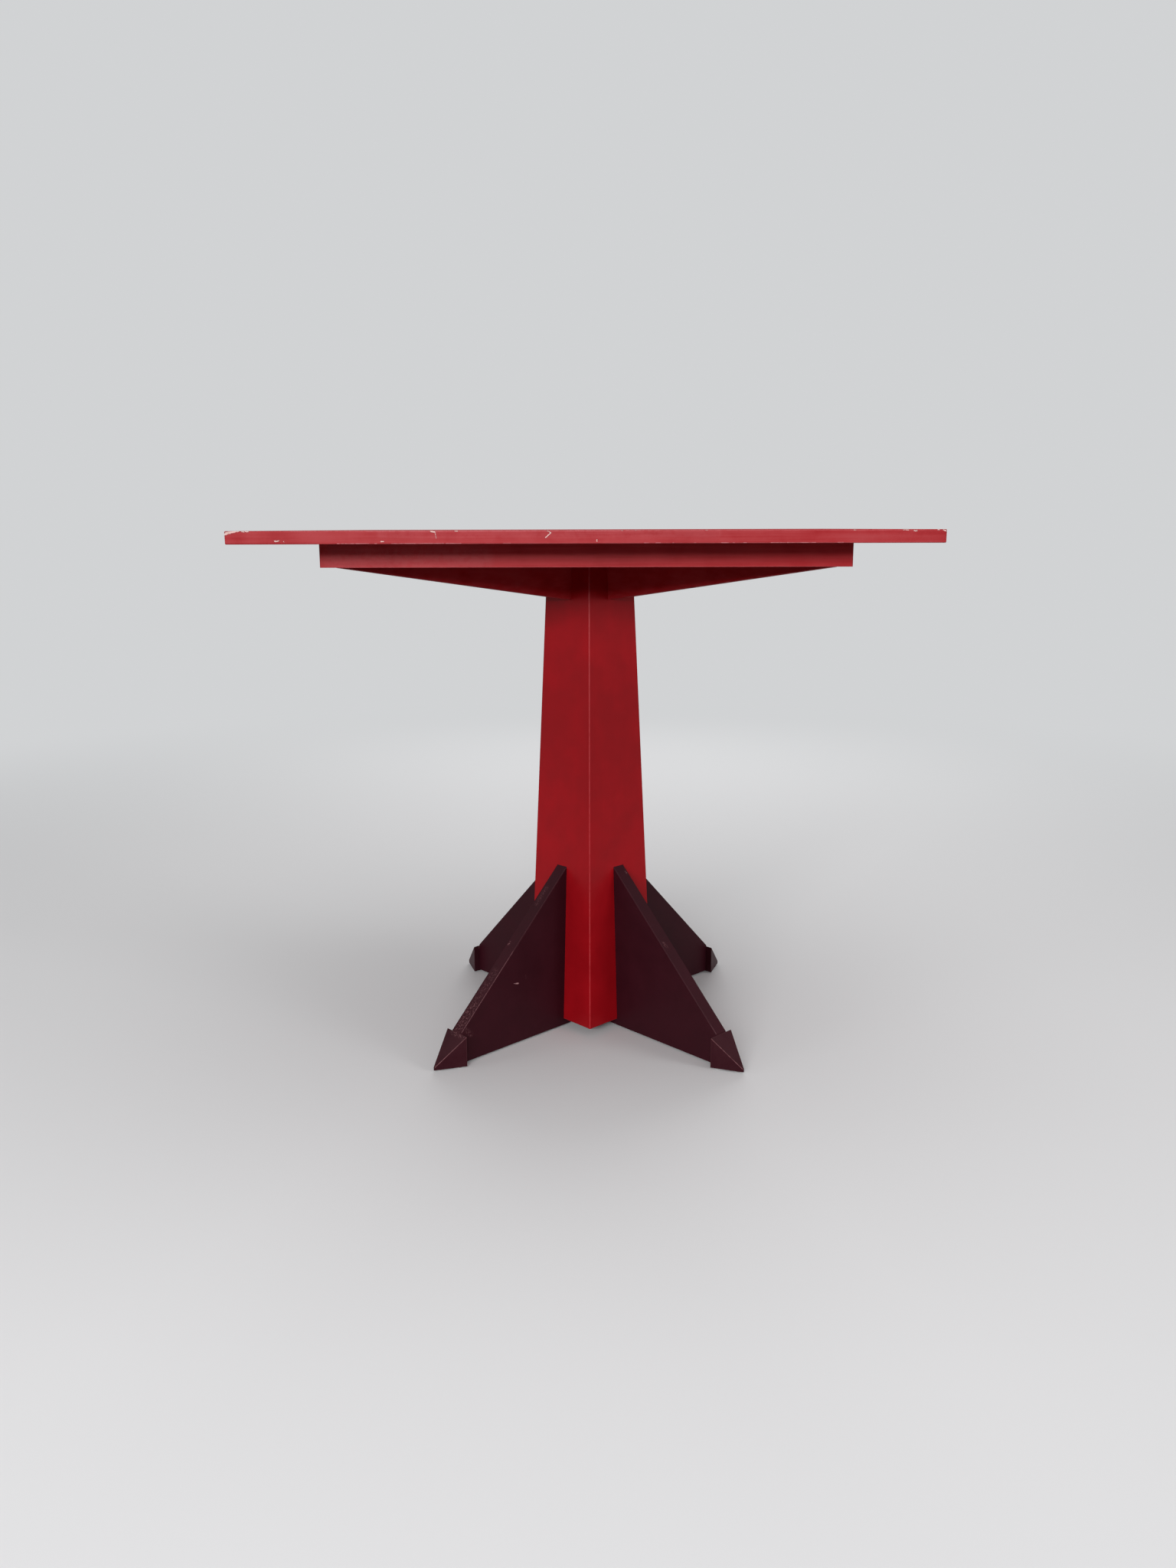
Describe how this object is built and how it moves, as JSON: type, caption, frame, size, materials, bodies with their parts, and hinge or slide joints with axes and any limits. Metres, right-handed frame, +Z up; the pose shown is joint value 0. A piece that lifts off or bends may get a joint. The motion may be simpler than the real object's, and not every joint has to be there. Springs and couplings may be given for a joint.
{
  "type": "dining table",
  "caption": "Square pedestal dining table with a thin top, set-back frame, diagonal bearers, tapered hollow column and sloped foot boards with pointed shoes.",
  "frame": {"origin": "on the floor, under the middle of the top", "axes": "+Z up, -Y the front edge of the top, +X the right-hand edge seen from the front; the column's faces, the bearers and the foot boards lie on the diagonals between X and Y"},
  "size_m": [0.818, 0.818, 0.75],
  "materials": {
    "red_lacquer": "worn satin red lacquer",
    "maroon_lacquer": "worn satin maroon lacquer",
    "bare_wood": "unfinished",
    "steel": "plain"
  },
  "bodies": {
    "root": {"tabletop": "red_lacquer", "apron_front": "red_lacquer", "apron_right": "red_lacquer", "apron_back": "red_lacquer", "apron_left": "red_lacquer", "bearer_lower": "red_lacquer", "bearer_upper": "red_lacquer", "column_board_front_left": "red_lacquer", "column_board_front_right": "red_lacquer", "column_board_back_right": "red_lacquer", "column_board_back_left": "red_lacquer", "column_strip_front": "bare_wood", "column_strip_right": "bare_wood", "column_strip_back": "bare_wood", "column_strip_left": "bare_wood", "foot_board_lower": "maroon_lacquer", "foot_board_upper": "maroon_lacquer", "shoe_front_left": "maroon_lacquer", "shoe_front_right": "maroon_lacquer", "shoe_back_right": "maroon_lacquer", "shoe_back_left": "maroon_lacquer", "floor_glides": "steel", "bearer_screws": "steel", "apron_screws": "steel"}
  },
  "joints": []
}
